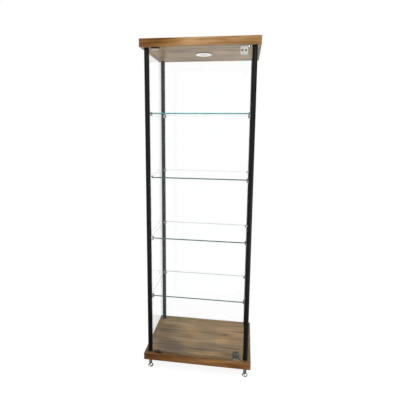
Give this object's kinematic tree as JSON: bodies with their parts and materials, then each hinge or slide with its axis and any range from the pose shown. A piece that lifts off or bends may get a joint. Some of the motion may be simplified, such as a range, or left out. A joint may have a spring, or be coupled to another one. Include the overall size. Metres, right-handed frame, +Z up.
{
  "type": "display case",
  "caption": "Tall free-standing display case with walnut boards, round black posts, glass walls, glass shelves, a hinged glass door, a ceiling spotlight and levelling feet.",
  "frame": {"origin": "on the floor under the middle of the case, with the feet screwed in", "axes": "+X to the viewer's right, +Y from the door to the back, +Z up"},
  "size_m": [0.6, 0.4, 1.8],
  "materials": {
    "walnut_board": "walnut laminate, satin",
    "walnut_edging": "walnut edge band, satin",
    "black_aluminium": "black anodised, satin",
    "clear_glass": "clear float glass",
    "door_glass": "clear toughened glass",
    "shelf_glass": "clear glass with green polished edges",
    "chrome": "chrome plated",
    "steel": "zinc plated steel",
    "black_steel": "black oxide steel, satin",
    "white_lacquer": "white lacquer",
    "black_plastic": "moulded black plastic",
    "magnet": "ferrite magnet",
    "white_nylon": "natural nylon",
    "soft_rubber": "soft black rubber",
    "lamp_lens": "frosted lens",
    "lamp_can": "drawn aluminium",
    "circuit_board": "white circuit board"
  },
  "bodies": {
    "case": {"base_board": "walnut_board", "top_board": "walnut_board", "base_edge_bands": "walnut_edging", "top_edge_bands": "walnut_edging", "bolt_cover_caps": "walnut_edging", "post_front_left": "black_aluminium", "post_front_right": "black_aluminium", "post_rear_left": "black_aluminium", "post_rear_right": "black_aluminium", "left_glass_pane": "clear_glass", "right_glass_pane": "clear_glass", "rear_glass_pane": "clear_glass", "shelf_1": "shelf_glass", "shelf_2": "shelf_glass", "shelf_3": "shelf_glass", "shelf_4": "shelf_glass", "shelf_clamps_1": "chrome", "shelf_clamps_2": "chrome", "shelf_clamps_3": "chrome", "shelf_clamps_4": "chrome", "upper_hinge_plate": "chrome", "lower_hinge_plate": "chrome", "foot_sockets": "chrome", "shelf_clamp_bolts": "steel", "shelf_clamp_grub_screws": "steel", "hinge_pins": "steel", "hinge_plate_screws": "steel", "catch_pole_plates": "steel", "catch_screws": "steel", "post_top_bolts": "steel", "post_base_bolts": "steel", "foot_socket_screws": "steel", "spotlight_spring_clips": "steel", "spotlight_trim_ring": "white_lacquer", "upper_catch_housing": "black_plastic", "lower_catch_housing": "black_plastic", "catch_magnets": "magnet", "pane_gaskets": "soft_rubber", "shelf_clamp_liners": "soft_rubber", "catch_buffers": "soft_rubber", "lamp_lead_grommet": "soft_rubber", "spotlight_lens": "lamp_lens", "spotlight_can": "lamp_can", "spotlight_led_board": "circuit_board"},
    "door": {"door_glass": "door_glass", "upper_hinge_clamp": "chrome", "lower_hinge_clamp": "chrome", "hinge_bushes": "white_nylon", "hinge_clamp_liners": "soft_rubber", "hinge_clamp_screws": "black_steel", "upper_door_strike": "steel", "lower_door_strike": "steel"},
    "front_left_leveller": {"foot_front_left": "chrome", "foot_glide_front_left": "black_plastic"},
    "front_right_leveller": {"foot_front_right": "chrome", "foot_glide_front_right": "black_plastic"},
    "rear_left_leveller": {"foot_rear_left": "chrome", "foot_glide_rear_left": "black_plastic"},
    "rear_right_leveller": {"foot_rear_right": "chrome", "foot_glide_rear_right": "black_plastic"}
  },
  "joints": [
    {"name": "door_swing", "type": "hinge", "parent": "case", "child": "door", "pos_m": [0.241, -0.18, 0.098], "axis": [0, 0, 1], "range_deg": [0, 150]},
    {"name": "front_left_levelling", "type": "slide", "parent": "case", "child": "front_left_leveller", "axis": [0, 0, -1], "range_m": [0, 0.015]},
    {"name": "front_right_levelling", "type": "slide", "parent": "case", "child": "front_right_leveller", "axis": [0, 0, -1], "range_m": [0, 0.015]},
    {"name": "rear_left_levelling", "type": "slide", "parent": "case", "child": "rear_left_leveller", "axis": [0, 0, -1], "range_m": [0, 0.015]},
    {"name": "rear_right_levelling", "type": "slide", "parent": "case", "child": "rear_right_leveller", "axis": [0, 0, -1], "range_m": [0, 0.015]}
  ]
}
